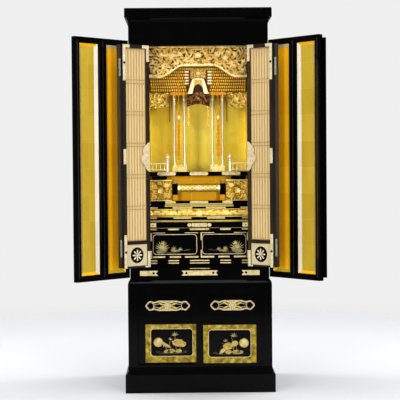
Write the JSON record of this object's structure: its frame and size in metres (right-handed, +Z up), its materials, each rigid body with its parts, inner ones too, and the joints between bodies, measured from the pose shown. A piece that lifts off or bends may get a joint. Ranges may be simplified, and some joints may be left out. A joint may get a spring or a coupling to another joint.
{
  "type": "buddhist home altar",
  "caption": "Standing household altar cabinet in black lacquer with folding outer doors, folding lattice doors, a carved gilt palace on a stepped altar, drawers and a cupboard.",
  "frame": {"origin": "centre of the underside of the plinth", "axes": "+Z up, front towards -Y, +X to the right seen from the front"},
  "size_m": [1.0472, 0.7072, 1.65],
  "materials": {
    "lacquer": "polished black lacquer",
    "gold_leaf": "gold leaf over lacquer",
    "carved_gilt": "gilt carving",
    "dark_gilt": "darker gilt carving",
    "lattice": "pale gilt lattice on gauze",
    "brass": "gilt brass"
  },
  "bodies": {
    "cabinet": {"plinth": "lacquer", "base_floor": "lacquer", "base_side_left": "lacquer", "base_side_right": "lacquer", "base_back": "lacquer", "base_shelf": "lacquer", "base_front_frame": "lacquer", "base_top": "lacquer", "sill": "lacquer", "body_side_left": "lacquer", "body_side_right": "lacquer", "body_back": "lacquer", "ceiling": "lacquer", "crown": "lacquer", "top_board": "lacquer", "jamb_left": "lacquer", "jamb_right": "lacquer", "lining_left": "gold_leaf", "lining_right": "gold_leaf", "gilt_back": "gold_leaf", "drawer_case": "lacquer", "lower_step": "lacquer", "carved_step": "carved_gilt", "upper_step": "lacquer", "recess_panel": "gold_leaf", "altar_floor": "lacquer", "roll_rail": "carved_gilt", "side_panel_left": "carved_gilt", "side_panel_right": "carved_gilt", "column_1": "carved_gilt", "column_2": "carved_gilt", "column_3": "carved_gilt", "column_4": "carved_gilt", "palace_roof": "carved_gilt", "palace_gable": "dark_gilt", "side_band_left": "carved_gilt", "side_band_right": "carved_gilt", "transom": "carved_gilt", "railing_left": "carved_gilt", "railing_right": "carved_gilt", "lamp_left": "brass", "lamp_right": "brass"},
    "outer_left_a": {"outer_left_a": "lacquer"},
    "outer_left_b": {"outer_left_b": "lacquer"},
    "outer_right_a": {"outer_right_a": "lacquer"},
    "outer_right_b": {"outer_right_b": "lacquer"},
    "shoji_left_a": {"shoji_left_a": "lacquer", "lattice_left_a": "lattice"},
    "shoji_left_b": {"shoji_left_b": "lacquer", "lattice_left_b": "lattice"},
    "shoji_right_a": {"shoji_right_a": "lacquer", "lattice_right_a": "lattice"},
    "shoji_right_b": {"shoji_right_b": "lacquer", "lattice_right_b": "lattice"},
    "lotus_drawer_left": {"lotus_drawer_left": "lacquer"},
    "lotus_drawer_right": {"lotus_drawer_right": "lacquer"},
    "base_drawer_left": {"base_drawer_left": "lacquer"},
    "base_drawer_right": {"base_drawer_right": "lacquer"},
    "sliding_door_left": {"sliding_door_left": "lacquer"},
    "sliding_door_right": {"sliding_door_right": "lacquer"}
  },
  "joints": [
    {"name": "outer_left_hinge", "type": "hinge", "parent": "cabinet", "child": "outer_left_a", "pos_m": [-0.3, -0.228, 1], "axis": [0, 0, -1], "range_deg": [-134, 0]},
    {"name": "outer_left_fold", "type": "hinge", "parent": "outer_left_a", "child": "outer_left_b", "pos_m": [-0.41975, -0.32033, 1], "axis": [0, 0, -1], "range_deg": [0, 165]},
    {"name": "outer_right_hinge", "type": "hinge", "parent": "cabinet", "child": "outer_right_a", "pos_m": [0.3, -0.228, 1], "axis": [0, 0, 1], "range_deg": [-130, 0]},
    {"name": "outer_right_fold", "type": "hinge", "parent": "outer_right_a", "child": "outer_right_b", "pos_m": [0.41301, -0.32846, 1], "axis": [0, 0, 1], "range_deg": [0, 165]},
    {"name": "shoji_left_hinge", "type": "hinge", "parent": "cabinet", "child": "shoji_left_a", "pos_m": [-0.2744, -0.2276, 1], "axis": [0, 0, -1], "range_deg": [-122, 0]},
    {"name": "shoji_left_fold", "type": "hinge", "parent": "shoji_left_a", "child": "shoji_left_b", "pos_m": [-0.32773, -0.35559, 1], "axis": [0, 0, 1], "range_deg": [-160, 0]},
    {"name": "shoji_right_hinge", "type": "hinge", "parent": "cabinet", "child": "shoji_right_a", "pos_m": [0.2744, -0.2276, 1], "axis": [0, 0, 1], "range_deg": [-118, 0]},
    {"name": "shoji_right_fold", "type": "hinge", "parent": "shoji_right_a", "child": "shoji_right_b", "pos_m": [0.31867, -0.359, 1], "axis": [0, 0, -1], "range_deg": [-160, 0]},
    {"name": "lotus_left_slide", "type": "slide", "parent": "cabinet", "child": "lotus_drawer_left", "axis": [0, -1, 0], "range_m": [0, 0.17]},
    {"name": "lotus_right_slide", "type": "slide", "parent": "cabinet", "child": "lotus_drawer_right", "axis": [0, -1, 0], "range_m": [0, 0.17]},
    {"name": "base_left_slide", "type": "slide", "parent": "cabinet", "child": "base_drawer_left", "axis": [0, -1, 0], "range_m": [0, 0.3]},
    {"name": "base_right_slide", "type": "slide", "parent": "cabinet", "child": "base_drawer_right", "axis": [0, -1, 0], "range_m": [0, 0.3]},
    {"name": "cupboard_left_slide", "type": "slide", "parent": "cabinet", "child": "sliding_door_left", "axis": [1, 0, 0], "range_m": [0, 0.249]},
    {"name": "cupboard_right_slide", "type": "slide", "parent": "cabinet", "child": "sliding_door_right", "axis": [1, 0, 0], "range_m": [-0.249, 0]}
  ],
  "couplings": [
    {"joint": "shoji_left_hinge", "follows": "outer_left_hinge", "ratio": 0.9104},
    {"joint": "shoji_left_fold", "follows": "outer_left_hinge", "ratio": 1.194},
    {"joint": "shoji_right_hinge", "follows": "outer_right_hinge", "ratio": 0.9076},
    {"joint": "shoji_right_fold", "follows": "outer_right_hinge", "ratio": 1.2307}
  ]
}
